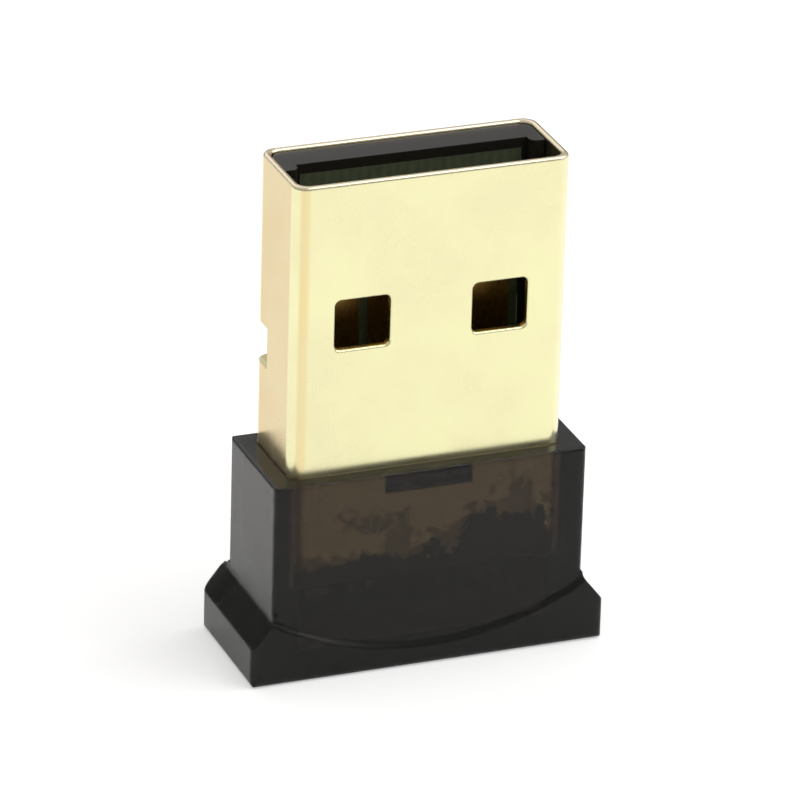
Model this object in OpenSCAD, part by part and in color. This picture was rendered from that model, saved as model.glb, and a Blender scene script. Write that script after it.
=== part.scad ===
// Short wireless adapter that stands on its base with the plug pointing up.
// Millimetres. The origin is at the middle of the base, +Z points to the plug's tip,
// and -Y is the side that faces the contacts.

/* [Housing] */
// Width of the base
base_w = 15.65; // [15:0.05:18]
// Depth of the base, front to back
base_d = 6.2; // [6:0.05:8]
// Height of the base's straight sides
base_h = 1.75; // [1.2:0.05:2.5]
// Height of the sloping shoulders above the straight sides
shoulder_h = 1.2; // [0.8:0.05:1.6]
// Width of the upright block that holds the plug
block_w = 13.75; // [13.4:0.05:14.4]
// Distance from the plug's middle plane to the block's front face
block_front = 2.95; // [2.8:0.01:3]
// Distance from the plug's middle plane to the block's back face
block_back = 2.65; // [2.6:0.01:3]
// Overall height of the housing
housing_h = 8.9; // [8.4:0.1:12]
// Radius of the block's and the base's upright corners
corner_r = 0.3; // [0.15:0.05:0.5]
// Radius of the base's lower edge
foot_r = 0.25; // [0.1:0.05:0.4]
// Radius of the block's top edge
rim_r = 0.12; // [0.05:0.01:0.2]
// Radius of the hollow fillet between block and shoulder
fillet_r = 0.6; // [0.2:0.05:0.9]
// Radius of the arc where the base stands proud of the faces
arc_r = 13.5; // [12.5:0.1:16]
// Height of the arc's lowest point
arc_low = 1.1; // [0.8:0.05:1.5]
// Height of the bevel along the arc
arc_bevel = 0.25; // [0.1:0.05:0.4]
// Depth of the bevel along the arc
arc_bevel_d = 0.15; // [0.1:0.01:0.15]
// Thickness of the housing's floor
floor_t = 1.1; // [0.8:0.1:1.6]
// Thickness of the ribs that guide the board's lower end
rib_t = 0.3; // [0.2:0.05:0.4]
// Gap between the board's lower end and the narrow sides of its well
well_gap = 0.1; // [0.05:0.05:0.2]

/* [Plug shell] */
// Width of the plug
plug_w = 12.0; // [11.9:0.05:12.1]
// Depth of the plug
plug_d = 4.5; // [4.4:0.05:4.6]
// Thickness of the folded sheet
sheet_t = 0.3; // [0.25:0.01:0.35]
// Outer radius of the shell's folds
fold_r = 0.63; // [0.5:0.01:0.8]
// Length of plug that stands out of the housing
plug_reach = 12.9; // [12.5:0.1:14]
// Height of the shell's lower end above the base
shell_z = 4.0; // [3.6:0.1:4.4]
// Radius of the rounded edges round the plug's mouth
mouth_r = 0.13; // [0.05:0.01:0.14]
// Width of each latch window
window_w = 2.4; // [2:0.05:2.6]
// Height of each latch window
window_h = 2.2; // [1.9:0.05:2.6]
// Distance between the two windows of a side
window_gap = 3.6; // [3.2:0.05:4]
// Distance from the plug's tip to the windows
window_drop = 5.15; // [4.9:0.05:5.6]
// Radius of the windows' corners
window_r = 0.28; // [0.1:0.02:0.4]
// Radius to which the punch rolls the windows' outer edges in
window_roll = 0.12; // [0.05:0.01:0.15]
// Height of the relief holes in the back folds
relief_h = 1.8; // [1.4:0.1:2.2]
// Width of a relief hole along the narrow side
relief_side = 1.45; // [1:0.05:1.6]
// Width of a relief hole along the back
relief_back = 1.0; // [0.8:0.05:1.2]
// Distance from the plug's tip to the relief holes
relief_drop = 7.4; // [7.2:0.1:8.4]
// Width of the locking slot in the front of the shell
lock_w = 3.85; // [3:0.05:5]
// Height of the locking slot
lock_h = 0.82; // [0.6:0.02:1]
// Distance from the housing's top to the locking slot
lock_drop = 0.24; // [0.2:0.02:0.5]
// Clearance of the housing's tooth in the locking slot
lock_gap = 0.1; // [0.05:0.01:0.12]
// Width of the groove that is left where the sheet's two ends are pressed together
seam_w = 0.06; // [0.04:0.01:0.1]
// Depth of that groove
seam_depth = 0.12; // [0.05:0.01:0.2]
// Distance from the windows down to the seam's dovetail
tail_drop = 0.4; // [0.2:0.1:0.6]
// Height of the dovetail
tail_h = 1.8; // [1.2:0.1:2]
// Width of the dovetail at its neck
tail_neck = 0.5; // [0.3:0.05:0.6]
// Width of the dovetail at its lower end
tail_wide = 0.8; // [0.7:0.05:1]
// Clearance between shell and housing
seat_gap = 0.02; // [0.02:0.01:0.08]

/* [Contact carrier] */
// Clearance between carrier and shell
carrier_gap = 0.05; // [0.02:0.01:0.1]
// Distance from the plug's tip to the carrier's end face
tip_recess = 0.12; // [0.05:0.01:0.4]
// Height of the lip that covers the board's end
lip_h = 0.45; // [0.3:0.05:0.8]
// How far the corner lugs stand forward of the board
lug_reach = 0.5; // [0.2:0.05:0.6]
// Width of a corner lug
lug_w = 0.6; // [0.4:0.05:0.8]
// Height of a corner lug
lug_h = 1.1; // [0.8:0.1:1.6]
// Clearance of the carrier round the relief holes
relief_gap = 0.1; // [0.05:0.05:0.2]
// Distance from the plug's tip down to the recess for the chips
bay_drop = 8.1; // [7.9:0.1:8.3]
// Width of the carrier's ledge behind each edge of the board
bay_edge = 0.2; // [0.1:0.05:0.4]

/* [Circuit board] */
// Thickness of the board
board_t = 0.6; // [0.5:0.05:0.65]
// Distance from the plug's middle plane to the board's front face
board_y = 0.5; // [0.4:0.05:0.55]
// Width of the tongue that carries the contacts
tongue_w = 9.7; // [9.5:0.05:10]
// Gap between the board's wide lower end and the shell, which the solder fills
solder_gap = 0.2; // [0.1:0.05:0.3]
// Height of the board's shoulders above the shell's lower end
board_step = 1.0; // [0.9:0.1:1.4]
// Thickness of a printed or plated copper layer
copper_t = 0.05; // [0.03:0.01:0.08]
// Width of the two outer contacts, power and ground
outer_w = 2.35; // [1.5:0.05:2.4]
// Width of the two inner contacts, for data
inner_w = 1.5; // [1:0.05:1.6]
// Distance from the middle to the middle of an outer contact
outer_pitch = 3.3; // [3.2:0.05:3.5]
// Distance from the middle to the middle of an inner contact
inner_pitch = 1.0; // [0.95:0.05:1.1]
// Length of the power and ground contacts, which mate first
long_contact = 7.4; // [7:0.1:8]
// Length of the data contacts
short_contact = 6.4; // [6:0.1:7]
// Distance from the board's end to the power and ground contacts
contact_drop = 0.9; // [0.6:0.1:1.2]

/* [Components] */
// Gap between neighbouring components
part_gap = 0.5; // [0.4:0.05:0.6]
// Side of the radio chip
radio_s = 5.0; // [4:0.1:5.1]
// Height of the radio chip
radio_h = 0.75; // [0.6:0.05:0.8]
// Terminals on each side of the radio chip
radio_pins = 8; // [4:1:10]
// Length of a small resistor or capacitor
small_l = 1.0; // [0.6:0.1:1]
// Width of a small resistor or capacitor
small_w = 0.5; // [0.3:0.05:0.5]
// Height of a small resistor
resistor_h = 0.35; // [0.2:0.05:0.4]
// Height of a small capacitor
capacitor_h = 0.5; // [0.3:0.05:0.5]
// Length of the lamp, the filter and the ferrite bead
medium_l = 1.6; // [1.4:0.1:1.8]
// Width of the lamp, the filter and the ferrite bead
medium_w = 0.8; // [0.6:0.05:0.9]
// Length of the bulk capacitor
bulk_l = 2.0; // [1.6:0.1:2]
// Width of the bulk capacitor
bulk_w = 1.25; // [0.8:0.05:1.25]
// Length of the crystal
crystal_l = 2.5; // [2:0.1:2.5]
// Width of the crystal
crystal_w = 2.0; // [1.6:0.1:2]
// Side of the memory chip's package
memory_s = 1.9; // [1.6:0.1:2]
// Width of a three-legged package, across its leads
three_leg_w = 1.3; // [1.2:0.1:1.4]
// Length of a three-legged package
three_leg_l = 2.6; // [2.2:0.1:2.9]
// Height of a three-legged package
three_leg_h = 0.75; // [0.6:0.05:0.8]
// Reach of a bent lead from its package
lead_reach = 0.48; // [0.4:0.02:0.5]
// Width of the antenna's printed line
antenna_line = 0.4; // [0.3:0.05:0.45]
// Height of the lamp, the filter and the ferrite bead
medium_h = 0.65; // [0.5:0.05:0.8]
// Height of the bulk capacitor
bulk_h = 0.75; // [0.6:0.05:0.8]
// Height of the antenna
antenna_h = 2.1; // [1.6:0.1:2.2]
// Spacing of the antenna's runs
antenna_pitch = 0.85; // [0.7:0.05:0.85]
// Number of the antenna's upright runs
antenna_runs = 8; // [4:1:8]
// Radius of a test pad
test_pad_r = 0.4; // [0.3:0.05:0.5]
// Spacing of the test pads
test_pitch = 1.5; // [1.2:0.1:1.6]

/* [Hidden] */

$fn = 48;
hull_smooth = 32;
arc_smooth = 96;
arc_steps = 6;
edge_steps = 3;
cut = 1;
hairline = 0.01;
lead_level = 0.45;

tip_z = housing_h + plug_reach;
bore_w = plug_w - 2 * sheet_t;
bore_d = plug_d - 2 * sheet_t;
bore_r = fold_r - sheet_t / 2;
window_x = (window_gap + window_w) / 2;
window_top = tip_z - window_drop;
relief_top = tip_z - relief_drop;
lock_top = housing_h - lock_drop;
shoulder_top = base_h + shoulder_h;

board_back = board_y + board_t;
carrier_w = bore_w - 2 * carrier_gap;
carrier_back = bore_d / 2 - carrier_gap;
carrier_tip = tip_z - tip_recess;
board_tip = carrier_tip - lip_h;
board_foot = floor_t + seat_gap;
board_step_z = shell_z + board_step;
foot_w = bore_w - 2 * solder_gap;
contact_end = board_tip - contact_drop - long_contact;
bay_top = tip_z - bay_drop;
bay_w = tongue_w - 2 * bay_edge;
well_w = foot_w + 2 * well_gap;
well_d = bore_d - 2 * carrier_gap;
left_x = -bay_w / 2;
right_x = bay_w / 2;

radio_x = left_x + part_gap + radio_s / 2;
row_pitch = small_l + part_gap / 2;
top_row_z = bay_top - part_gap - small_w / 2;
radio_z = top_row_z - small_w / 2 - part_gap - radio_s / 2;
regulator_z = bay_top - part_gap - three_leg_w / 2 - lead_reach;
crystal_z = regulator_z - three_leg_w / 2 - lead_reach - crystal_w / 2 - part_gap / 4;
memory_z = crystal_z - crystal_w / 2 - memory_s / 2 - part_gap / 2;
diode_z = radio_z - radio_s / 2 - lead_reach - three_leg_w / 2 - part_gap / 2;
low_row_z = memory_z - memory_s / 2 - bulk_w / 2 - part_gap / 4;
filter_x = -2 * part_gap;
filter_z = diode_z - part_gap - medium_l / 2 - three_leg_w / 2;
lamp_x = left_x + medium_l / 2;
lamp_z = board_foot + 2 * medium_w;

// A rectangle round the origin with true round corners
module round_rect(w, d, r) {
    square([w, d - 2 * r], center = true);
    square([w - 2 * r, d], center = true);
    for (x = [-1, 1], y = [-1, 1])
        translate([x * (w / 2 - r), y * (d / 2 - r)]) circle(r);
}

// A flat band of one width along a row of points
module band(points, w) {
    for (i = [0:len(points) - 2])
        let (a = points[i], b = points[i + 1], run = b - a)
            translate(a) rotate(atan2(run.y, run.x))
                translate([-w / 2, -w / 2]) square([norm(run) + w, w]);
}

// An elevation drawn in X and Z, pushed through from front to back
module from_front(depth) {
    translate([0, depth / 2, 0]) rotate([90, 0, 0]) linear_extrude(depth) children();
}

// An elevation drawn in Y and Z, pushed through from side to side
module from_side(width) {
    translate([-width / 2, 0, 0]) rotate([90, 0, 90]) linear_extrude(width) children();
}

// Half of the base's outline: side, shoulder and the fillet that runs into the block
function base_half() =
    let (lean = atan((base_w - block_w) / 2 / shoulder_h),
         rise = fillet_r * tan(lean / 2),
         cx = block_w / 2 + fillet_r,
         cz = shoulder_top + rise)
    concat([[base_w / 2, 0], [base_w / 2, base_h]],
        [for (i = [0:arc_steps])
            let (a = 180 + lean * (1 - i / arc_steps))
            [cx + fillet_r * cos(a), cz + fillet_r * sin(a)]]);

module base_outline() {
    half = base_half();
    last = len(half) - 1;
    polygon(concat(half, [for (i = [last:-1:0]) [-half[i][0], half[i][1]]]));
}

// The base is cut away above a wide arc, so that it stands proud of the block in front and behind
module arc_cut(side, block_face) {
    ledge = base_d / 2 - block_face - arc_bevel_d;
    slope = arc_bevel / arc_bevel_d;
    translate([0, side * block_face, arc_low + arc_r]) rotate([-side * 90, 0, 0]) {
        if (ledge > 0) cylinder(h = ledge + hairline, r = arc_r, $fn = arc_smooth);
        translate([0, 0, ledge])
            cylinder(h = arc_bevel_d + cut, r1 = arc_r, r2 = arc_r + slope * (arc_bevel_d + cut),
                $fn = arc_smooth);
    }
}

module base_body() {
    difference() {
        intersection() {
            linear_extrude(housing_h) round_rect(base_w, base_d, corner_r);
            from_front(base_d) base_outline();
            from_front(base_d) translate([0, housing_h / 2]) round_rect(base_w, housing_h, foot_r);
            from_side(base_w) translate([0, housing_h / 2]) round_rect(base_d, housing_h, foot_r);
        }
        arc_cut(-1, block_front);
        arc_cut(1, block_back);
    }
}

module block_body() {
    block_d = block_front + block_back;
    middle = (block_back - block_front) / 2;
    translate([0, middle, 0]) intersection() {
        translate([0, 0, foot_r]) linear_extrude(housing_h) round_rect(block_w, block_d, corner_r);
        from_front(block_d) translate([0, housing_h / 2]) round_rect(block_w, housing_h, rim_r);
        from_side(block_w) translate([0, housing_h / 2]) round_rect(block_d, housing_h, rim_r);
    }
}

// The tooth on the front wall drops into the shell's locking slot, with a ramp on its upper side
module lock_tooth() {
    wall_y = -plug_d / 2 - seat_gap;
    low = lock_top - lock_h + lock_gap;
    high = lock_top - lock_gap;
    reach = sheet_t * 0.8;
    from_side(lock_w - 2 * lock_gap) polygon([[wall_y - hairline, low], [wall_y + reach, low],
        [wall_y + reach, (low + high) / 2], [wall_y, high], [wall_y - hairline, high]]);
}

// Ribs on both narrow sides of the lower well hold the board's foot front and back
module board_ribs() {
    rib_w = well_gap + rib_t;
    for (x = [-1, 1], y = [board_y - seat_gap - rib_t, board_back + seat_gap])
        translate([x > 0 ? well_w / 2 - rib_w : -well_w / 2 - hairline, y, floor_t - hairline])
            cube([rib_w + hairline, rib_t, shell_z - floor_t]);
}

// One-piece smoky moulding: block, shoulders and base, hollow for the plug and the board
module housing() {
    color("#3a3734") {
        difference() {
            union() {
                base_body();
                block_body();
            }
            translate([0, 0, shell_z]) linear_extrude(housing_h - shell_z + cut)
                round_rect(plug_w + 2 * seat_gap, plug_d + 2 * seat_gap, fold_r + seat_gap);
            translate([0, 0, floor_t]) linear_extrude(shell_z)
                round_rect(well_w, well_d, corner_r);
        }
        lock_tooth();
        board_ribs();
    }
}

// Dovetail seam that locks the two ends of the folded sheet at the back
module seam_line() {
    tail_top = window_top - window_h - tail_drop;
    tail_bottom = tail_top - tail_h;
    band([[0, tip_z - mouth_r - seam_w], [0, tail_top], [tail_neck, tail_top], [tail_wide, tail_bottom],
        [0, tail_bottom], [0, shell_z - cut]], seam_w);
}

// One step of the rounded mouth edge, between two turns of the edge from 0 to 90 degrees
module edge_step(w, d, r, from_turn, to_turn) {
    hull() for (turn = [from_turn, to_turn])
        let (inset = mouth_r * (1 - cos(turn)), drop = mouth_r * (1 - sin(turn)))
            translate([0, 0, tip_z - drop - hairline]) linear_extrude(hairline)
                round_rect(w - 2 * inset, d - 2 * inset, r - inset, $fn = hull_smooth);
}

// The mouth's inner edge flares the other way, by the same steps
module flare_step(from_turn, to_turn) {
    hull() for (turn = [from_turn, to_turn])
        let (outset = mouth_r * (1 - cos(turn)), drop = mouth_r * (1 - sin(turn)))
            translate([0, 0, tip_z - drop]) linear_extrude(hairline)
                round_rect(bore_w + 2 * outset, bore_d + 2 * outset, bore_r + outset, $fn = hull_smooth);
}

// One step of a window's rolled edge, drawn with the window's middle at the origin and Z outwards
module roll_step(from_turn, to_turn) {
    from_size = 1 + 2 * window_roll / window_w * (1 - cos(from_turn));
    to_size = 1 + 2 * window_roll / window_w * (1 - cos(to_turn));
    translate([0, 0, window_roll * (sin(from_turn) - 1)])
        linear_extrude(window_roll * (sin(to_turn) - sin(from_turn)) + hairline,
            scale = to_size / from_size, slices = 1)
            scale(from_size) round_rect(window_w, window_h, window_r, $fn = hull_smooth);
}

// A latch window through the front and the back sheet, with both outer edges rolled in
module latch_window(x) {
    z = window_top - window_h / 2;
    turn_step = 90 / edge_steps;
    from_front(plug_d + cut) translate([x, z]) round_rect(window_w, window_h, window_r);
    for (side = [-1, 1], i = [0:edge_steps - 1])
        translate([x, side * plug_d / 2, z]) rotate([-side * 90, 0, 0])
            roll_step(i * turn_step, (i + 1) * turn_step);
}

// Folded and gold-plated sheet: mouth edge, latch windows, relief holes, locking slot and seam
module plug_shell() {
    turn_step = 90 / edge_steps;
    color("#efe0b4") difference() {
        union() {
            translate([0, 0, shell_z]) linear_extrude(tip_z - shell_z - mouth_r)
                round_rect(plug_w, plug_d, fold_r);
            for (i = [0:edge_steps - 1])
                edge_step(plug_w, plug_d, fold_r, i * turn_step, (i + 1) * turn_step);
        }
        translate([0, 0, shell_z - cut]) linear_extrude(tip_z - shell_z + 2 * cut)
            round_rect(bore_w, bore_d, bore_r);
        for (i = [0:edge_steps - 1]) flare_step(i * turn_step, (i + 1) * turn_step);
        for (x = [-1, 1]) latch_window(x * window_x);
        for (x = [-1, 1])
            translate([x > 0 ? plug_w / 2 - relief_back : -plug_w / 2 - cut,
                plug_d / 2 - relief_side, relief_top - relief_h])
                cube([relief_back + cut, relief_side + cut, relief_h]);
        translate([-lock_w / 2, -plug_d / 2 - cut, lock_top - lock_h])
            cube([lock_w, cut + plug_d / 2, lock_h]);
        translate([0, plug_d / 2, 0]) from_front(2 * seam_depth) seam_line();
    }
}

// Black moulding behind and beside the board: it fills the back half of the plug
module contact_carrier() {
    relief_clear = relief_back + relief_gap;
    color("#1b1b1c") {
        difference() {
            translate([0, 0, board_step_z]) intersection() {
                linear_extrude(carrier_tip - board_step_z)
                    round_rect(carrier_w, 2 * carrier_back, bore_r);
                translate([-plug_w / 2, board_y, 0]) cube([plug_w, plug_d, carrier_tip]);
            }
            translate([-tongue_w / 2 - carrier_gap, board_y - cut, board_step_z - cut])
                cube([tongue_w + 2 * carrier_gap, cut + board_t, board_tip - board_step_z + cut]);
            translate([-bay_w / 2, board_y, board_step_z - cut])
                cube([bay_w, plug_d, bay_top - board_step_z + cut]);
            for (x = [-1, 1])
                translate([x > 0 ? plug_w / 2 - relief_clear : -plug_w / 2 - cut,
                    plug_d / 2 - relief_side - relief_gap, relief_top - relief_h - relief_gap])
                    cube([relief_clear + cut, plug_d, relief_h + 2 * relief_gap]);
        }
        corner_lugs();
    }
}

// Small lugs in both front corners of the carrier's end, each with its inner corner rounded
module corner_lugs() {
    root = lug_reach / 3;
    round = lug_reach * 0.6;
    for (side = [-1, 1])
        translate([side * carrier_w / 2, board_y, carrier_tip - lug_h])
            linear_extrude(lug_h) mirror([side > 0 ? 1 : 0, 0]) {
                translate([0, -lug_reach]) square([lug_w - round, lug_reach + root]);
                translate([0, round - lug_reach]) square([lug_w, lug_reach + root - round]);
                translate([lug_w - round, round - lug_reach]) circle(round);
            }
}

// Printed board: a narrow tongue for the contacts and a wide foot that carries the antenna
module circuit_board() {
    via_r = part_gap * 0.3;
    color("#2e4a33") translate([0, board_back, 0]) rotate([90, 0, 0]) linear_extrude(board_t)
        difference() {
            union() {
                translate([-tongue_w / 2, board_foot]) square([tongue_w, board_tip - board_foot]);
                translate([-foot_w / 2, board_foot]) square([foot_w, board_step_z - board_foot]);
            }
            for (x = [-1, 1], z = [board_step_z - part_gap, board_step_z + part_gap, bay_top - part_gap])
                translate([x * (tongue_w / 2 - part_gap), z]) circle(via_r);
        }
}

// A gold pad on the front of the board. All four end at one height, and the longer ones mate first
module contact(x, width, length) {
    color("#d9b45a") translate([x - width / 2, board_y - copper_t, contact_end])
        cube([width, copper_t, length]);
}

module contact_power() { contact(outer_pitch, outer_w, long_contact); }
module contact_data_minus() { contact(inner_pitch, inner_w, short_contact); }
module contact_data_plus() { contact(-inner_pitch, inner_w, short_contact); }
module contact_ground() { contact(-outer_pitch, outer_w, long_contact); }

// Puts a component on the back of the board: local X is across, local Y up, local Z away from the board
module on_back(x, z, turn = 0) {
    translate([x, board_back, z]) rotate([-90, 180, 0]) rotate(turn) children();
}

// The same on the front of the board
module on_front(x, z, turn = 0) {
    translate([x, board_y, z]) rotate([90, 0, 0]) rotate(turn) children();
}

// Two-ended chip part with its metal end caps standing slightly proud of the body
module chip_part(l, w, h) {
    cap = l / 5;
    proud = 0.02;
    translate([-l / 2 + cap / 2, -w / 2 + proud, proud / 2])
        cube([l - cap, w - 2 * proud, h - proud]);
    for (x = [-l / 2, l / 2 - cap]) translate([x, -w / 2, 0]) cube([cap, w, h]);
}

// Moulded body with drafted sides, as on small leaded parts
module moulded_body(l, w, h) {
    draft = h / 15;
    for (end = [0, 1])
        hull() {
            translate([0, 0, h * lead_level]) linear_extrude(hairline) square([l, w], center = true);
            translate([0, 0, end * (h - hairline)]) linear_extrude(hairline)
                square([l - 2 * draft, w - 2 * draft], center = true);
        }
}

// Bent lead: foot on the board, riser, and root in the body
module bent_lead(w, h) {
    t = lead_reach / 4;
    root = lead_reach / 5;
    riser = lead_reach * 0.45;
    rotate([90, 0, 0]) translate([0, 0, -w / 2]) linear_extrude(w)
        polygon([[-root, h], [riser, h], [riser, t], [lead_reach, t],
            [lead_reach, 0], [riser - t, 0], [riser - t, h - t], [-root, h - t]]);
}

// Square radio chip with a row of terminals on each side and a dimple at terminal one
module radio_chip() {
    pin_pitch = radio_s * 0.8 / (radio_pins - 1);
    pin_w = pin_pitch * 0.45;
    pin_h = radio_h / 4;
    pin_out = radio_s / 125;
    dimple = radio_s * 0.16;
    color("#26282a") on_back(radio_x, radio_z) {
        difference() {
            translate([-radio_s / 2, -radio_s / 2, 0]) cube([radio_s, radio_s, radio_h]);
            translate([dimple - radio_s / 2, radio_s / 2 - dimple, radio_h * 0.93])
                cylinder(h = cut, r = dimple * 0.4);
        }
        for (side = [0:3]) rotate(90 * side)
            for (i = [0:radio_pins - 1])
                translate([radio_s / 2 - pin_out, (i - (radio_pins - 1) / 2) * pin_pitch - pin_w / 2, 0])
                    cube([2 * pin_out, pin_w, pin_h]);
    }
}

// Small settings memory with four leads on two sides
module memory_chip() {
    lead_pitch = memory_s / 4;
    h = three_leg_h;
    color("#232526") on_back(right_x - lead_reach - memory_s / 2 - copper_t, memory_z) {
        moulded_body(memory_s, memory_s, h);
        for (x = [-1, 1], i = [-1.5:1:1.5])
            translate([x * memory_s / 2, i * lead_pitch, 0]) scale([x, 1, 1])
                bent_lead(lead_pitch * 0.45, h * lead_level);
    }
}

// Three-legged part in a small moulded package
module three_leg_part() {
    spread = three_leg_l * 0.365;
    lead_w = three_leg_l * 0.135;
    root_h = three_leg_h * lead_level;
    moulded_body(three_leg_w, three_leg_l, three_leg_h);
    for (y = [-spread, spread])
        translate([three_leg_w / 2, y, 0]) bent_lead(lead_w, root_h);
    rotate(180) translate([three_leg_w / 2, 0, 0]) bent_lead(lead_w, root_h);
}

module voltage_regulator() {
    color("#232526") on_back(right_x - part_gap / 2 - three_leg_l / 2, regulator_z, 90) three_leg_part();
}

module surge_diode() {
    color("#2a2c2d") on_back(left_x + part_gap + three_leg_l / 2, diode_z, 90) three_leg_part();
}

// Quartz crystal: ceramic tray with a metal lid
module crystal() {
    tray_h = crystal_w * 0.2;
    lid_h = crystal_w * 0.08;
    rim = crystal_w * 0.1;
    color("#b9b4a6") on_back(right_x - (part_gap + crystal_l) / 2, crystal_z) {
        translate([-crystal_l / 2, -crystal_w / 2, 0]) cube([crystal_l, crystal_w, tray_h]);
        translate([0, 0, tray_h]) linear_extrude(lid_h)
            round_rect(crystal_l - 2 * rim, crystal_w - 2 * rim, rim);
    }
}

// Status lamp: flat base with two end contacts and a clear block of resin on it
module status_led() {
    base_t = medium_h / 3;
    lens_h = medium_h - base_t;
    color("#d8e6ef") on_front(lamp_x, lamp_z) {
        chip_part(medium_l, medium_w, base_t);
        translate([0, 0, base_t - hairline]) linear_extrude(lens_h)
            round_rect(medium_l * 0.6, medium_w * 0.92, medium_w * 0.15);
    }
}

module bulk_capacitor() {
    color("#a98f63") on_back(right_x - medium_w - 2 * part_gap - bulk_l / 2, low_row_z)
        chip_part(bulk_l, bulk_w, bulk_h);
}

module ferrite_bead() {
    color("#4b4a4a") on_back(right_x - part_gap - medium_w / 2, low_row_z - part_gap, 90)
        chip_part(medium_l, medium_w, medium_h);
}

module antenna_filter() {
    color("#ddd8cc") on_back(filter_x, filter_z, 90) chip_part(medium_l, medium_w, medium_h);
}

module resistor() { chip_part(small_l, small_w, resistor_h); }
module small_capacitor() { chip_part(small_l, small_w, capacitor_h); }

// Resistors: the lamp's, two in the data lines and one at the chip
module resistors() {
    color("#1f2023") {
        on_front(lamp_x + (medium_l + small_l) / 2 + part_gap, lamp_z) resistor();
        for (x = [-1, 1]) on_front(x * inner_pitch, contact_end - part_gap - small_l / 2, 90) resistor();
        on_back(radio_x + 1.5 * row_pitch, top_row_z) resistor();
    }
}

// Capacitors round the chip, at the antenna's feed and at the power contact
module capacitors() {
    beside_radio = radio_x + radio_s / 2 + (part_gap + small_w) / 2;
    color("#b39a70") {
        for (i = [-1.5:1:0.5]) on_back(radio_x + i * row_pitch, top_row_z) small_capacitor();
        for (side = [-1, 1]) on_back(beside_radio, radio_z + side * small_l, 90) small_capacitor();
        on_back(filter_x + medium_w / 2 + part_gap + small_w / 2, filter_z, 90) small_capacitor();
        on_front(outer_pitch, contact_end - part_gap - small_l / 2, 90) small_capacitor();
    }
}

// Printed antenna: a meander below the end of the metal shell, where the radio can get out
module antenna_trace() {
    low = board_foot + antenna_line;
    high = low + antenna_h - antenna_line;
    corners = [for (i = [0:antenna_runs - 1], end = [0, 1])
        [right_x - (antenna_runs - 1 - i) * antenna_pitch, (i + end) % 2 == 0 ? low : high]];
    color("#3c5a38") translate([0, board_y, 0]) rotate([90, 0, 0]) linear_extrude(copper_t)
        band(corners, antenna_line);
}

// Round pads on the front of the board that the factory's test pins touch
module test_pads() {
    color("#d9b45a") for (i = [-2:2], row = [1, 2])
        on_front(i * test_pitch, board_step_z + row * test_pitch) cylinder(h = copper_t, r = test_pad_r);
}

// Solder that joins both edges of the board's wide foot to the inside of the shell
module shell_solder() {
    color("#c7c9cb") for (x = [-1, 1])
        translate([x > 0 ? foot_w / 2 : -foot_w / 2 - solder_gap, board_y, shell_z + board_step * 0.2])
            cube([solder_gap, board_t, board_step * 0.6]);
}

housing();
plug_shell();
contact_carrier();
circuit_board();
contact_power();
contact_data_minus();
contact_data_plus();
contact_ground();
radio_chip();
memory_chip();
voltage_regulator();
surge_diode();
crystal();
status_led();
bulk_capacitor();
ferrite_bead();
antenna_filter();
resistors();
capacitors();
antenna_trace();
test_pads();
shell_solder();
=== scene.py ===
import math

import bmesh
import bpy
from mathutils import Matrix, Vector


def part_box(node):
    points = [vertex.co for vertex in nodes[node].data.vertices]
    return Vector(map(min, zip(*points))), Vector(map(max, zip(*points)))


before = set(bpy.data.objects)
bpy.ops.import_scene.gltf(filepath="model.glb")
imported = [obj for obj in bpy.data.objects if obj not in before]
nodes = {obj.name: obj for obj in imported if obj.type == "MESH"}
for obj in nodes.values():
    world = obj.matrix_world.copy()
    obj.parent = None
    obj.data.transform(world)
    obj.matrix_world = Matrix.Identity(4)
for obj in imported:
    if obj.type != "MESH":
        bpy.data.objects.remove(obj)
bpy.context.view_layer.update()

# Camera. The view was solved from the photograph's own edges: it looks down on the front and
# on the left side, from about a quarter of a metre, with a long lens.
MM = 0.001
SENSOR = 36.0
IMAGE_SIDE = 800
FOCAL_PIXELS = 6627.7
AZIMUTH = math.radians(-21.655)
ELEVATION = math.radians(24.598)
ROLL = math.radians(1.681)
DISTANCE = 274.37 * MM
AIM = Vector((0, 0, 10 * MM))
AIM_PIXEL = (408.362, 415.783)

back = Vector((math.sin(AZIMUTH) * math.cos(ELEVATION),
               -math.cos(AZIMUTH) * math.cos(ELEVATION),
               math.sin(ELEVATION)))
level_right = (-back).cross(Vector((0, 0, 1))).normalized()
level_up = level_right.cross(-back)
right = math.cos(ROLL) * level_right + math.sin(ROLL) * level_up
up = math.cos(ROLL) * level_up - math.sin(ROLL) * level_right
shift_x = (AIM_PIXEL[0] - IMAGE_SIDE / 2) / FOCAL_PIXELS * DISTANCE
shift_y = (AIM_PIXEL[1] - IMAGE_SIDE / 2) / FOCAL_PIXELS * DISTANCE
eye = AIM + back * DISTANCE - right * shift_x + up * shift_y

camera_data = bpy.data.cameras.new("photo_view")
camera_data.sensor_width = SENSOR
camera_data.lens = FOCAL_PIXELS / IMAGE_SIDE * SENSOR
camera_data.clip_start = 0.01
camera_data.clip_end = 20
camera = bpy.data.objects.new("photo_view", camera_data)
camera.matrix_world = (Matrix.Translation(eye)
                       @ Matrix((right, up, back)).transposed().to_4x4())
bpy.context.scene.collection.objects.link(camera)
bpy.context.scene.camera = camera
bpy.context.scene.view_settings.view_transform = "Standard"

# Studio table. A white painted board, matt, seamless and much larger than the object. Camera,
# mirror and glass rays see it brighter than it is lit, so it reads as white and keeps its shadow.
FLOOR_SIDE = 3.0
FLOOR_GAP = 0.02 * MM
CAMERA_GLOW = 0.42
MIRROR_GLOW = 0.283
GLASS_GLOW = 0.18


def linear(hex_code):
    """The linear colour that an sRGB hex code stands for."""
    channels = [int(hex_code[i:i + 2], 16) / 255 for i in (1, 3, 5)]
    return tuple(c / 12.92 if c <= 0.04045 else ((c + 0.055) / 1.055) ** 2.4 for c in channels) + (1.0,)


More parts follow.
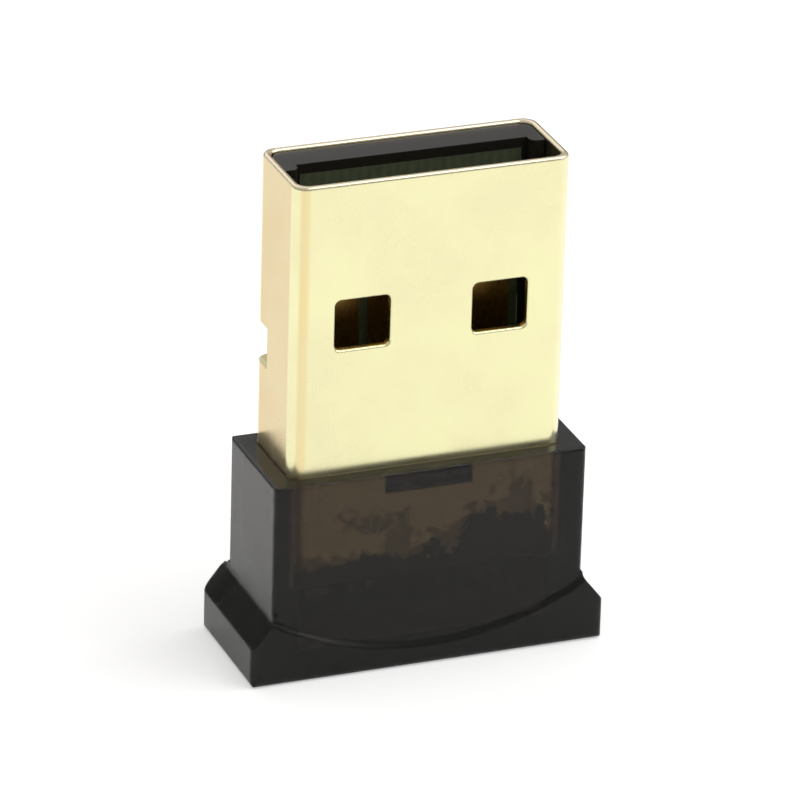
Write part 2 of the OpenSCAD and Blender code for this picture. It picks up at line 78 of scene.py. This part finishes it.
def add(tree, kind, inputs=None, **settings):
    """Adds one node: settings are its properties, inputs are values or the sockets to link."""
    made = tree.nodes.new(kind)
    for name, value in settings.items():
        setattr(made, name, value)
    for key, value in (inputs or {}).items():
        if isinstance(value, bpy.types.NodeSocket):
            tree.links.new(value, made.inputs[key])
        else:
            made.inputs[key].default_value = value
    return made


def new_material(name):
    """An empty material, its tree and its output node."""
    made = bpy.data.materials.new(name)
    made.use_nodes = True
    made.node_tree.nodes.clear()
    return made, made.node_tree, add(made.node_tree, "ShaderNodeOutputMaterial")


bpy.ops.object.select_all(action="DESELECT")
bpy.ops.mesh.primitive_plane_add(size=FLOOR_SIDE, location=(0, 0, -FLOOR_GAP))
floor = bpy.context.object
floor.name = "white_table"
paint, tree, output = new_material("matt_white_paint")
rays = add(tree, "ShaderNodeLightPath")
level = add(tree, "ShaderNodeMath", {0: rays.outputs["Is Camera Ray"], 1: CAMERA_GLOW},
            operation="MULTIPLY")
for ray, ray_glow in (("Is Glossy Ray", MIRROR_GLOW), ("Is Transmission Ray", GLASS_GLOW)):
    level = add(tree, "ShaderNodeMath", {0: rays.outputs[ray], 1: ray_glow, 2: level.outputs[0]},
                operation="MULTIPLY_ADD")
matt = add(tree, "ShaderNodeBsdfDiffuse", {"Color": linear("#ECECEC")})
glow = add(tree, "ShaderNodeEmission", {"Color": (1, 1, 1, 1), "Strength": level.outputs[0]})
both = add(tree, "ShaderNodeAddShader", {0: matt.outputs[0], 1: glow.outputs[0]})
tree.links.new(both.outputs[0], output.inputs["Surface"])
floor.data.materials.append(paint)

# Studio light. One wide soft box above and in front on the right, a weaker one behind, and a grey
# room that darkens towards the height of the table.
KEY_PLACE = (0.5, -0.2, 0.6)
KEY_WATTS = 3.4
BACK_PLACE = (-0.1, 0.75, 0.6)
BACK_WATTS = 1.0
BOX_SIDE = 0.8
ROOM_LOW, ROOM_HIGH = 0.12, 0.5
ROOM_DARK, ROOM_LIGHT = 0.14, 0.6


def soft_box(name, place, watts):
    """A square lamp that faces the middle of the object."""
    data = bpy.data.lights.new(name, "AREA")
    data.shape = "SQUARE"
    data.size = BOX_SIDE
    data.energy = watts
    lamp = bpy.data.objects.new(name, data)
    bpy.context.scene.collection.objects.link(lamp)
    lamp.location = place
    lamp.rotation_euler = (AIM - Vector(place)).to_track_quat("-Z", "Y").to_euler()


soft_box("key_soft_box", KEY_PLACE, KEY_WATTS)
soft_box("back_soft_box", BACK_PLACE, BACK_WATTS)
world = bpy.data.worlds.new("studio_room")
bpy.context.scene.world = world
world.use_nodes = True
tree = world.node_tree
sky = add(tree, "ShaderNodeSeparateXYZ", {0: add(tree, "ShaderNodeTexCoord").outputs["Generated"]})
brightness = add(tree, "ShaderNodeMapRange", {
    "Value": sky.outputs["Z"], "From Min": ROOM_LOW, "From Max": ROOM_HIGH,
    "To Min": ROOM_DARK, "To Max": ROOM_LIGHT}, interpolation_type="SMOOTHSTEP")
tree.links.new(brightness.outputs[0], tree.nodes["Background"].inputs["Strength"])
tree.nodes["Background"].inputs["Color"].default_value = linear("#F8F7F5")

# Housing. Smoky polycarbonate, injection moulded in one piece round a cavity. The eye sees a
# satin skin, and dark brown depth where light has gone through the wall and come back.
SMOKE_PER_METRE = 2950.0
SMOKE_PASSES = (0.317, 0.226, 0.165, 1)
SATIN_GLOSS = (0.68, 0.67, 0.65, 1)
HOUSING_EDGE = 0.16 * MM
SPARK_GRAIN = 0.12 * MM
FLOW_CLOUDS = 2.5 * MM
RELIEF_DEPTH = 0.01 * MM


def dress(node, material):
    """Gives one of the frame's solids its material."""
    nodes[node].data.materials.clear()
    nodes[node].data.materials.append(material)


smoky, tree, output = new_material("smoky_polycarbonate")
place = add(tree, "ShaderNodeTexCoord").outputs["Object"]
grain = add(tree, "ShaderNodeTexNoise", {"Vector": place, "Scale": 1 / SPARK_GRAIN, "Detail": 3.0})
clouds = add(tree, "ShaderNodeTexNoise", {"Vector": place, "Scale": 1 / FLOW_CLOUDS, "Detail": 4.0})
satin = add(tree, "ShaderNodeMapRange", {"Value": clouds.outputs["Fac"], "From Min": 0.35, "From Max": 0.65,
                                         "To Min": 0.18, "To Max": 0.25})
soft_edge = add(tree, "ShaderNodeBevel", {"Radius": HOUSING_EDGE}, samples=6)
relief = add(tree, "ShaderNodeBump", {"Height": grain.outputs["Fac"], "Strength": 0.15,
                                      "Distance": RELIEF_DEPTH, "Normal": soft_edge.outputs[0]})
plastic = add(tree, "ShaderNodeBsdfPrincipled", {
    "Base Color": (1, 1, 1, 1), "Transmission Weight": 1.0, "IOR": 1.5,
    "Specular Tint": SATIN_GLOSS, "Roughness": satin.outputs[0], "Normal": relief.outputs[0]})
smoke = add(tree, "ShaderNodeVolumeAbsorption", {"Color": SMOKE_PASSES, "Density": SMOKE_PER_METRE})
tree.links.new(plastic.outputs[0], output.inputs["Surface"])
tree.links.new(smoke.outputs[0], output.inputs["Volume"])
dress("housing", smoky)

# Plug shell. Steel strip, stamped, folded round and barrel plated in pale gold. The eye sees a
# satin metal that mirrors the table, in faint clouds and pinker at the cut rim, with painted shade
# on the narrow sides, a painted highlight along the folds and a painted darker reflection band
# inside the left fold. Its places across, in depth and in height are in mm.
HALF_WIDTH = 6.0
# Across the width: the plating's own pale tone on the front, a painted highlight on both outer folds, and a
# painted darker reflection band just inside the left fold.
PLATING_WITH_PAINTED_FOLD_LIGHT = ((-6.0, "#FFFCC8"), (-5.8, "#FFFCC8"), (-5.7, "#F4DFA0"), (-5.48, "#F6E4A6"),
              (-5.3, "#FBF8C4"), (5.5, "#FBF8C4"), (5.7, "#FFFDD4"), (6.0, "#FFFBD0"))
FOLD_START = 1.62
FOLD_BLUR = (0.1, 0.05)
SIDE_SKIN = 0.05
RIM_START = 21.7
# Painted shade: a darker, warmer tone laid on the flat narrow sides of the shell.
SIDE_PAINTED_SHADE = "#E9D09C"
RIM_TONE = "#F6E6CC"
CLOUD_TONE = "#F3E8BE"
SHEET_EDGE = 0.06 * MM
PLATING_GRAIN = 0.1 * MM
CLOUD_SIZE = 3.5 * MM


def ramp_across(tree, across, stops):
    """A colour ramp over the shell's width, from pairs of X in mm and linear colour."""
    made = add(tree, "ShaderNodeValToRGB", {0: across})
    ramp = made.color_ramp.elements
    for i, (x, tone) in enumerate(stops):
        at = (x + HALF_WIDTH) / (2 * HALF_WIDTH)
        stop = ramp[0] if i == 0 else ramp[-1] if i == len(stops) - 1 else ramp.new(at)
        stop.position = at
        stop.color = tone
    return made


plated, tree, output = new_material("pale_gold_plating")
place = add(tree, "ShaderNodeTexCoord").outputs["Object"]
split = add(tree, "ShaderNodeSeparateXYZ", {0: place})
grain = add(tree, "ShaderNodeTexNoise", {"Vector": place, "Scale": 1 / PLATING_GRAIN, "Detail": 4.0})
patches = add(tree, "ShaderNodeTexNoise", {"Vector": place, "Scale": 1 / CLOUD_SIZE, "Detail": 5.0,
                                           "Roughness": 0.6})
across = add(tree, "ShaderNodeMapRange", {"Value": split.outputs["X"], "From Min": -HALF_WIDTH * MM,
                                          "From Max": HALF_WIDTH * MM})
plating_with_fold_light = ramp_across(tree, across.outputs[0], [(x, linear(tone)) for x, tone in PLATING_WITH_PAINTED_FOLD_LIGHT])
depth = add(tree, "ShaderNodeMath", {0: split.outputs["Y"]}, operation="ABSOLUTE")
narrow = add(tree, "ShaderNodeMapRange", {"Value": depth.outputs[0],
                                          "From Min": (FOLD_START + FOLD_BLUR[0]) * MM,
                                          "From Max": (FOLD_START - FOLD_BLUR[1]) * MM})
outer = add(tree, "ShaderNodeMath", {0: split.outputs["X"]}, operation="ABSOLUTE")
side = add(tree, "ShaderNodeMath", {0: outer.outputs[0], 1: (HALF_WIDTH - SIDE_SKIN) * MM},
           operation="GREATER_THAN")
side_shade_mask = add(tree, "ShaderNodeMath", {0: side.outputs[0], 1: narrow.outputs[0]}, operation="MULTIPLY")
# Lays the painted side shade over the flat narrow sides.
side_shaded = add(tree, "ShaderNodeMix", {"Factor": side_shade_mask.outputs[0], 6: plating_with_fold_light.outputs[0],
                                    7: linear(SIDE_PAINTED_SHADE)}, data_type="RGBA")
rim = add(tree, "ShaderNodeMath", {0: split.outputs["Z"], 1: RIM_START * MM}, operation="GREATER_THAN")
rimmed = add(tree, "ShaderNodeMix", {"Factor": rim.outputs[0], 6: side_shaded.outputs[2], 7: linear(RIM_TONE)},
             data_type="RGBA")
clouded = add(tree, "ShaderNodeMapRange", {"Value": patches.outputs["Fac"], "From Min": 0.35,
                                           "From Max": 0.65, "To Min": 0.0, "To Max": 0.45})
tone = add(tree, "ShaderNodeMix", {"Factor": clouded.outputs[0], 6: rimmed.outputs[2],
                                   7: linear(CLOUD_TONE)}, data_type="RGBA")
burnish = add(tree, "ShaderNodeMapRange", {"Value": patches.outputs["Fac"], "From Min": 0.3,
                                           "From Max": 0.7, "To Min": 0.2, "To Max": 0.3})
soft_edge = add(tree, "ShaderNodeBevel", {"Radius": SHEET_EDGE}, samples=6)
relief = add(tree, "ShaderNodeBump", {"Height": grain.outputs["Fac"], "Strength": 0.1,
                                      "Distance": RELIEF_DEPTH, "Normal": soft_edge.outputs[0]})
metal = add(tree, "ShaderNodeBsdfPrincipled", {
    "Base Color": tone.outputs[2], "Metallic": 1.0, "Roughness": burnish.outputs[0],
    "Normal": relief.outputs[0]})

# Sealing resin. Dark epoxy that crept up between shell and wall and set with a ragged edge, higher
# on the right. Above the edge a thin film of it lies in blots. The edge's places, its range and
# the creep's reach are in mm.
RESIN_EDGE = ((-6.0, 4.9), (-3.5, 4.8), (0.2, 5.3), (1.2, 5.1), (2.0, 6.2), (4.4, 6.6), (6.0, 5.2))
RESIN_RANGE = (4.0, 8.0)
CREEP_SIZE = 0.9 * MM
CREEP_REACH = 4.2
CREEP_LEVEL = 2.12
CREEP_BLUR = 0.06
BLOT_SIZE = 1.5 * MM
FILM_FADE = 0.10 / MM
FILM_DEPTH = 0.55
levels = [(x, (z - RESIN_RANGE[0]) / (RESIN_RANGE[1] - RESIN_RANGE[0])) for x, z in RESIN_EDGE]
edge_height = ramp_across(tree, across.outputs[0], [(x, (level, level, level, 1)) for x, level in levels])
edge_z = add(tree, "ShaderNodeMapRange", {"Value": edge_height.outputs[0], "To Min": RESIN_RANGE[0] * MM,
                                          "To Max": RESIN_RANGE[1] * MM})
above = add(tree, "ShaderNodeMath", {0: split.outputs["Z"], 1: edge_z.outputs[0]}, operation="SUBTRACT")
crept = add(tree, "ShaderNodeTexNoise", {"Vector": place, "Scale": 1 / CREEP_SIZE, "Detail": 8.0,
                                         "Roughness": 0.66, "Distortion": 0.5})
climb = add(tree, "ShaderNodeMath", {0: crept.outputs["Fac"], 1: -CREEP_REACH * MM, 2: above.outputs[0]},
            operation="MULTIPLY_ADD")
wet = add(tree, "ShaderNodeMapRange", {"Value": climb.outputs[0],
                                       "From Min": -(CREEP_LEVEL + CREEP_BLUR) * MM,
                                       "From Max": -(CREEP_LEVEL - CREEP_BLUR) * MM,
                                       "To Min": 1.0, "To Max": 0.0})
blots = add(tree, "ShaderNodeTexNoise", {"Vector": place, "Scale": 1 / BLOT_SIZE, "Detail": 5.0,
                                         "Roughness": 0.6, "Distortion": 0.4})
fade = add(tree, "ShaderNodeMath", {0: above.outputs[0], 1: FILM_FADE, 2: blots.outputs["Fac"]},
           operation="MULTIPLY_ADD")
film = add(tree, "ShaderNodeMapRange", {"Value": fade.outputs[0], "From Min": 0.52, "From Max": 0.6,
                                        "To Min": FILM_DEPTH, "To Max": 0.0})
sealed = add(tree, "ShaderNodeMath", {0: wet.outputs[0], 1: film.outputs[0]}, operation="MAXIMUM")
resin = add(tree, "ShaderNodeBsdfPrincipled", {"Base Color": linear("#24211D"), "Roughness": 0.45})
surface = add(tree, "ShaderNodeMixShader", {0: sealed.outputs[0], 1: metal.outputs[0], 2: resin.outputs[0]})
tree.links.new(surface.outputs[0], output.inputs["Surface"])
dress("plug_shell", plated)

# Contact carrier. Black glass-filled nylon, injection moulded and pressed into the shell. The eye
# sees a matt black with a soft grey sheen where it mirrors the room.
NYLON_GRAIN = 0.08 * MM
NYLON_EDGE = 0.05 * MM
nylon, tree, output = new_material("black_nylon")
place = add(tree, "ShaderNodeTexCoord").outputs["Object"]
grain = add(tree, "ShaderNodeTexNoise", {"Vector": place, "Scale": 1 / NYLON_GRAIN, "Detail": 3.0})
soft_edge = add(tree, "ShaderNodeBevel", {"Radius": NYLON_EDGE}, samples=6)
relief = add(tree, "ShaderNodeBump", {"Height": grain.outputs["Fac"], "Strength": 0.1,
                                      "Distance": RELIEF_DEPTH, "Normal": soft_edge.outputs[0]})
skin = add(tree, "ShaderNodeBsdfPrincipled", {
    "Base Color": linear("#1A1919"), "Roughness": 0.3, "IOR": 1.53, "Normal": relief.outputs[0]})
tree.links.new(skin.outputs[0], output.inputs["Surface"])
dress("contact_carrier", nylon)

# Circuit board. Glass epoxy laminate under green solder resist, and the printed antenna under the
# same resist. The eye sees a dark green gloss, with the cloth's weave just showing.
CLOTH_WEAVE = 1.3 * MM
RESIST_MOTTLE = 0.4 * MM


def resist_finish(name, thin, thick):
    """Solder resist whose colour is thin over the cloth's threads and thick between them."""
    made, tree, output = new_material(name)
    place = add(tree, "ShaderNodeTexCoord").outputs["Object"]
    weave = add(tree, "ShaderNodeTexWave", {"Vector": place, "Scale": 1 / CLOTH_WEAVE, "Distortion": 2.0},
                bands_direction="X")
    mottle = add(tree, "ShaderNodeTexNoise", {"Vector": place, "Scale": 1 / RESIST_MOTTLE, "Detail": 3.0})
    mixed = add(tree, "ShaderNodeMath", {0: weave.outputs["Fac"], 1: 0.3, 2: mottle.outputs["Fac"]},
                operation="MULTIPLY_ADD")
    green = add(tree, "ShaderNodeMix", {"Factor": mixed.outputs[0], 6: linear(thin), 7: linear(thick)},
                data_type="RGBA")
    coated = add(tree, "ShaderNodeBsdfPrincipled", {
        "Base Color": green.outputs[2], "Roughness": 0.4, "Coat Weight": 0.5})
    tree.links.new(coated.outputs[0], output.inputs["Surface"])
    return made


dress("circuit_board", resist_finish("green_solder_resist", "#56604E", "#3E4A3A"))
dress("antenna_trace", resist_finish("resist_over_copper", "#3A4726", "#2C3A20"))

# Contacts and test pads. Copper plated with nickel and hard gold. The eye sees a satin gold that is
# deeper than the shell's, with fine marks along the contacts' length.
MARK_WIDTH = 0.05 * MM
MARK_STRETCH = (1.0, 1.0, 0.08)
gilt, tree, output = new_material("hard_gold_plating")
place = add(tree, "ShaderNodeTexCoord").outputs["Object"]
stretched = add(tree, "ShaderNodeMapping", {"Vector": place, "Scale": MARK_STRETCH})
scratches = add(tree, "ShaderNodeTexNoise", {"Vector": stretched.outputs[0], "Scale": 1 / MARK_WIDTH,
                                             "Detail": 3.0})
tone = add(tree, "ShaderNodeMix", {"Factor": scratches.outputs["Fac"], 6: linear("#D9AE62"),
                                   7: linear("#C4934A")}, data_type="RGBA")
rubbed = add(tree, "ShaderNodeMapRange", {"Value": scratches.outputs["Fac"], "To Min": 0.22,
                                          "To Max": 0.36})
gold = add(tree, "ShaderNodeBsdfPrincipled", {
    "Base Color": tone.outputs[2], "Metallic": 1.0, "Roughness": rubbed.outputs[0]})
tree.links.new(gold.outputs[0], output.inputs["Surface"])
for node in ("contact_power", "contact_data_minus", "contact_data_plus", "contact_ground", "test_pads"):
    dress(node, gilt)

# Chips. Black epoxy moulding compound round the die, with tinned leads. The eye sees a fine matt
# grain on the body and dull silver at the leads.
LEAD_REACH = 0.48 * MM
PIN_REACH = 0.04 * MM
EPOXY_GRAIN = 0.05 * MM


def body_mask(tree, bodies):
    """One where Object coordinates lie outside all the boxes, looking along Y."""
    place = add(tree, "ShaderNodeTexCoord").outputs["Object"]
    mask = 1.0
    for low, high in bodies:
        centred = add(tree, "ShaderNodeVectorMath", {0: place, 1: (low + high) / 2}, operation="SUBTRACT")
        size = add(tree, "ShaderNodeVectorMath", {0: centred.outputs[0]}, operation="ABSOLUTE")
        past = add(tree, "ShaderNodeVectorMath", {0: size.outputs[0], 1: (high - low) / 2},
                   operation="SUBTRACT")
        split = add(tree, "ShaderNodeSeparateXYZ", {0: past.outputs[0]})
        furthest = add(tree, "ShaderNodeMath", {0: split.outputs["X"], 1: split.outputs["Z"]},
                       operation="MAXIMUM")
        out = add(tree, "ShaderNodeMath", {0: furthest.outputs[0], 1: 0.0}, operation="GREATER_THAN")
        mask = add(tree, "ShaderNodeMath", {0: out.outputs[0], 1: mask}, operation="MULTIPLY").outputs[0]
    return mask


def tinned_part(name, dark, light, grain_size, roughness, bodies):
    """A body of two close tones in a fine grain, with tin wherever it reaches out of the bodies' boxes."""
    made, tree, output = new_material(name)
    place = add(tree, "ShaderNodeTexCoord").outputs["Object"]
    grain = add(tree, "ShaderNodeTexNoise", {"Vector": place, "Scale": 1 / grain_size, "Detail": 3.0})
    tone = add(tree, "ShaderNodeMix", {"Factor": grain.outputs["Fac"], 6: linear(dark), 7: linear(light)},
               data_type="RGBA")
    relief = add(tree, "ShaderNodeBump", {"Height": grain.outputs["Fac"], "Strength": 0.3,
                                          "Distance": RELIEF_DEPTH})
    case = add(tree, "ShaderNodeBsdfPrincipled", {
        "Base Color": tone.outputs[2], "Roughness": roughness, "Normal": relief.outputs[0]})
    tin = add(tree, "ShaderNodeBsdfPrincipled", {
        "Base Color": linear("#C9CACB"), "Metallic": 1.0, "Roughness": 0.35, "Normal": relief.outputs[0]})
    both = add(tree, "ShaderNodeMixShader", {0: body_mask(tree, bodies), 1: case.outputs[0],
                                             2: tin.outputs[0]})
    tree.links.new(both.outputs[0], output.inputs["Surface"])
    return made


def drawn_in(box, x, z):
    """A box with its ends moved in by x and z."""
    low, high = (Vector(corner) for corner in box)
    inset = Vector((x, 0, z))
    return low + inset, high - inset


for node, x, z in (("radio_chip", PIN_REACH, PIN_REACH), ("memory_chip", LEAD_REACH, 0),
                   ("voltage_regulator", 0, LEAD_REACH), ("surge_diode", 0, LEAD_REACH)):
    body = drawn_in(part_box(node), x, z)
    dress(node, tinned_part("epoxy_of_" + node, "#1B1C1D", "#292A2B", EPOXY_GRAIN, 0.6, [body]))

# Chip parts. Fired ceramic, ferrite or glazed alumina, dipped in tin at both ends, and soldered flat.
# The eye sees a dull coloured block between two silver caps.
CAP_SHARE = 0.2
CERAMIC_GRAIN = 0.06 * MM
WELD = 0.0001 * MM


def solids(node):
    """The box of each separate solid of a node."""
    shape = bmesh.new()
    shape.from_mesh(nodes[node].data)
    bmesh.ops.remove_doubles(shape, verts=shape.verts, dist=WELD)
    boxes = []
    seen = set()
    for start in shape.verts:
        found = []
        waiting = [start]
        while waiting:
            vert = waiting.pop()
            if vert not in seen:
                seen.add(vert)
                found.append(vert.co.copy())
                waiting.extend(edge.other_vert(vert) for edge in vert.link_edges)
        if found:
            boxes.append(tuple(Vector(pick(axis) for axis in zip(*found)) for pick in (min, max)))
    shape.free()
    return boxes


def between_caps(box):
    """The stretch of a two-ended part that its end caps leave bare."""
    length = box[1] - box[0]
    if length.x > length.z:
        return drawn_in(box, length.x * CAP_SHARE, 0)
    return drawn_in(box, 0, length.z * CAP_SHARE)


for node, dark, light, roughness, slot in (
        ("bulk_capacitor", "#8F744C", "#B09668", 0.5, "tan_ceramic"),
        ("capacitors", "#9A8055", "#BBA375", 0.5, "tan_ceramic"),
        ("ferrite_bead", "#403E3C", "#55524F", 0.65, "ferrite"),
        ("antenna_filter", "#D2CDBF", "#E6E2D8", 0.45, "white_ceramic"),
        ("resistors", "#191A1D", "#26272B", 0.25, "resistor_glaze")):
    bodies = [between_caps(box) for box in solids(node)]
    dress(node, tinned_part("ceramic_of_" + node, dark, light, CERAMIC_GRAIN, roughness, bodies))

# Quartz crystal. A fired ceramic tray with a thin nickel lid seam welded on it, and the eye sees
# a pale block with a brighter satin plate.
TRAY_HEIGHT = 0.4 * MM
CASE_GRAIN = 0.07 * MM


def two_layer(name, node, height, lower, upper):
    """Two shaders on one solid: lower up to a height along Y from its low side, upper beyond it."""
    made, tree, output = new_material(name)
    place = add(tree, "ShaderNodeTexCoord").outputs["Object"]
    split = add(tree, "ShaderNodeSeparateXYZ", {0: place})
    grain = add(tree, "ShaderNodeTexNoise", {"Vector": place, "Scale": 1 / CASE_GRAIN, "Detail": 3.0})
    relief = add(tree, "ShaderNodeBump", {"Height": grain.outputs["Fac"], "Strength": 0.1,
                                          "Distance": RELIEF_DEPTH})
    beyond = add(tree, "ShaderNodeMath", {0: split.outputs["Y"], 1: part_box(node)[0][1] + height},
                 operation="GREATER_THAN")
    layers = [add(tree, "ShaderNodeBsdfPrincipled", dict(look, Normal=relief.outputs[0]))
              for look in (lower, upper)]
    both = add(tree, "ShaderNodeMixShader", {0: beyond.outputs[0], 1: layers[0].outputs[0],
                                             2: layers[1].outputs[0]})
    tree.links.new(both.outputs[0], output.inputs["Surface"])
    return made


dress("crystal", two_layer("ceramic_and_nickel_lid", "crystal", TRAY_HEIGHT,
                           {"Base Color": linear("#5B554B"), "Roughness": 0.6},
                           {"Base Color": linear("#B9B4A6"), "Metallic": 1.0, "Roughness": 0.3}))

# Status lamp. A diode under a moulded block of clear epoxy on a white base. The eye sees a small
# water-clear block on white.
LENS_HEIGHT = 0.43 * MM
dress("status_led", two_layer("clear_epoxy_on_white_base", "status_led", LENS_HEIGHT,
                              {"Base Color": linear("#EAF2F6"), "Transmission Weight": 0.9, "IOR": 1.53,
                               "Roughness": 0.08},
                              {"Base Color": linear("#E8E6DF"), "Roughness": 0.5}))

# Shell solder. Lead-free solder run in between the board's edge and the shell, still bright and
# slightly frosted where it froze.
FROST_SIZE = 0.15 * MM
FROST_DEPTH = 0.02 * MM
solder, tree, output = new_material("frosted_tin_solder")
place = add(tree, "ShaderNodeTexCoord").outputs["Object"]
frost = add(tree, "ShaderNodeTexVoronoi", {"Vector": place, "Scale": 1 / FROST_SIZE})
relief = add(tree, "ShaderNodeBump", {"Height": frost.outputs["Distance"], "Strength": 0.3,
                                      "Distance": FROST_DEPTH})
tin = add(tree, "ShaderNodeBsdfPrincipled", {
    "Base Color": linear("#C7C9CB"), "Metallic": 1.0, "Roughness": 0.3, "Normal": relief.outputs[0]})
tree.links.new(tin.outputs[0], output.inputs["Surface"])
dress("shell_solder", solder)
